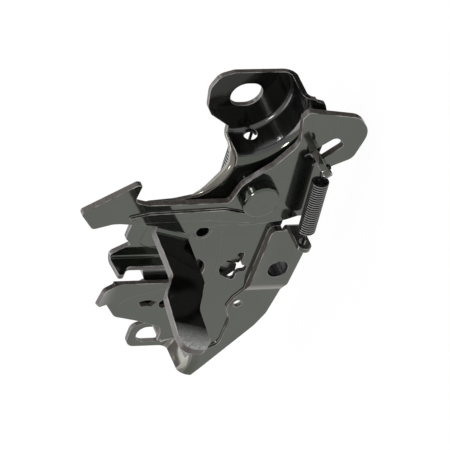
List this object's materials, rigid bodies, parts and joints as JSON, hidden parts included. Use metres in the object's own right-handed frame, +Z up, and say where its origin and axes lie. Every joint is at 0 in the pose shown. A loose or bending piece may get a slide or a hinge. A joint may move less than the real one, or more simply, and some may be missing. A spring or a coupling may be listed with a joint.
{
  "type": "bonnet latch",
  "caption": "Black stamped-steel bonnet latch with a sprung safety hook lever, a bent finger handle, a striker slot closed by a claw and pawl, and slotted mounting ears.",
  "frame": {"origin": "on the mounting plane, midway between the two ear holes", "axes": "+Z up, the way the striker leaves; +Y to the rear, into the panel the ears bolt to; the handle points along -Y; +X along the line of the ear holes"},
  "size_m": [0.1641, 0.1001, 0.1203],
  "materials": {
    "black_paint": "gloss black electro-coat on pressed steel",
    "lever_paint": "gloss black electro-coat, satin on sheared edges",
    "claw_paint": "black coat on thick plate",
    "rivet": "black coat over a turned head",
    "spring": "black coated spring wire"
  },
  "bodies": {
    "base": {"base_plate": "black_paint", "lever_rivet": "rivet", "lever_spacer": "rivet", "lever_spring": "spring", "claw_rivet": "rivet", "claw_washer": "rivet", "claw_spring": "spring", "pawl_rivet": "rivet", "pawl_washer": "rivet", "pawl_spring": "spring"},
    "lever": {"safety_lever": "lever_paint"},
    "claw": {"claw": "claw_paint"},
    "pawl": {"pawl": "claw_paint"}
  },
  "joints": [
    {"name": "lever_swing", "type": "hinge", "parent": "base", "child": "lever", "pos_m": [0.036, -0.0251, -0.008], "axis": [0, -1, 0], "range_deg": [0, 18], "stiffness_Nm_per_rad": 2, "springref_deg": -20.05, "deforming": ["lever_spring"]},
    {"name": "claw_turn", "type": "hinge", "parent": "base", "child": "claw", "pos_m": [-0.032, -0.0137, 0.001], "axis": [0, -1, 0], "range_deg": [0, 46], "deforming": ["claw_spring"]},
    {"name": "pawl_turn", "type": "hinge", "parent": "base", "child": "pawl", "pos_m": [0.0083, -0.0137, 0.007], "axis": [0, -1, 0], "range_deg": [0, 21], "deforming": ["pawl_spring"]}
  ],
  "couplings": [
    {"joint": "pawl_turn", "follows": "claw_turn", "ratio": 0.45}
  ]
}
